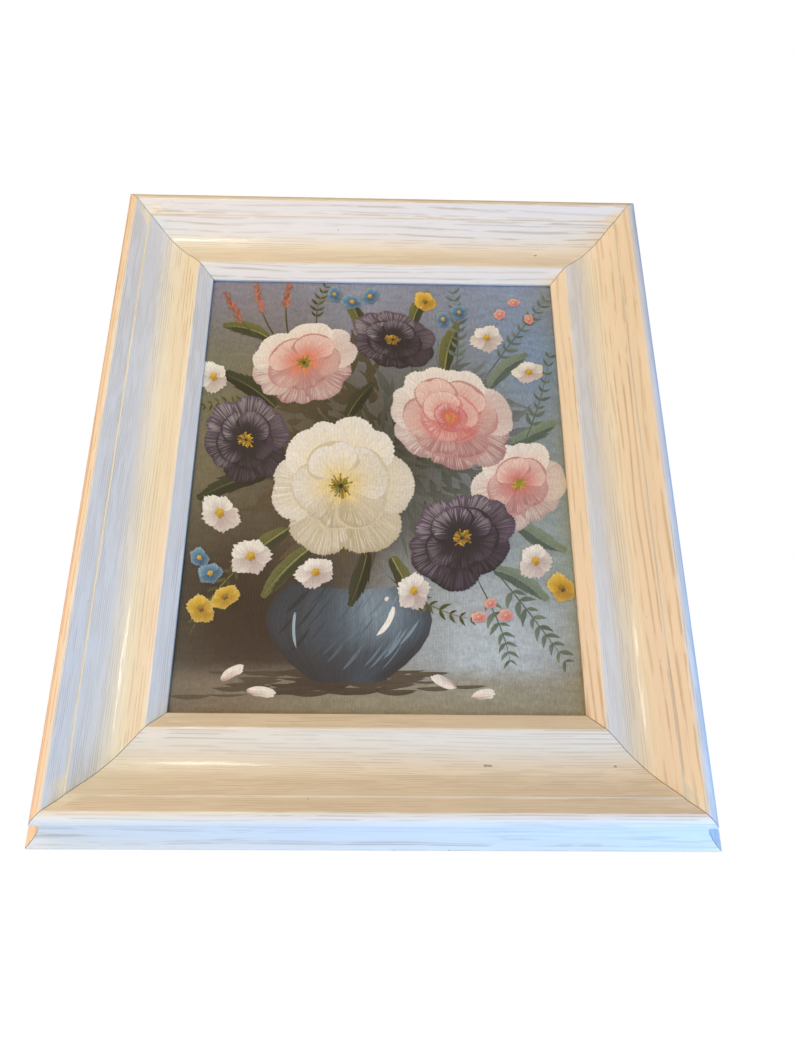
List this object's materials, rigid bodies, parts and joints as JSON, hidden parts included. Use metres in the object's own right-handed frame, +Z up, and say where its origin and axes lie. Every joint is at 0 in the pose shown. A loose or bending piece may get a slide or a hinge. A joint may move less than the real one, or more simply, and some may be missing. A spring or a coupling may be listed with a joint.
{
  "type": "framed painting",
  "caption": "Small flower painting on a canvas panel in a scooped, white-washed wooden moulding with mitred corners and a sawtooth hanger on the back.",
  "frame": {"origin": "the point under the hanger's middle notch where a wall nail carries the frame, in the plane of the frame's flat back", "axes": "+Y out of the back towards the wall, the picture faces -Y, +Z up, +X to the right of someone who looks at the picture"},
  "size_m": [0.3062, 0.0307, 0.3589],
  "materials": {
    "moulding_wood": "white-washed, open grain, satin",
    "painted_canvas": "oil paint on primed canvas over board, light varnish",
    "hardware_steel": "plated"
  },
  "bodies": {
    "root": {"frame_rail_top": "moulding_wood", "frame_rail_bottom": "moulding_wood", "frame_rail_left": "moulding_wood", "frame_rail_right": "moulding_wood", "canvas_panel": "painted_canvas", "retaining_point_1": "hardware_steel", "retaining_point_2": "hardware_steel", "retaining_point_3": "hardware_steel", "retaining_point_4": "hardware_steel", "retaining_point_5": "hardware_steel", "retaining_point_6": "hardware_steel", "retaining_point_7": "hardware_steel", "retaining_point_8": "hardware_steel", "hanger_plate": "hardware_steel", "hanger_nail_left": "hardware_steel", "hanger_nail_right": "hardware_steel"}
  },
  "joints": []
}
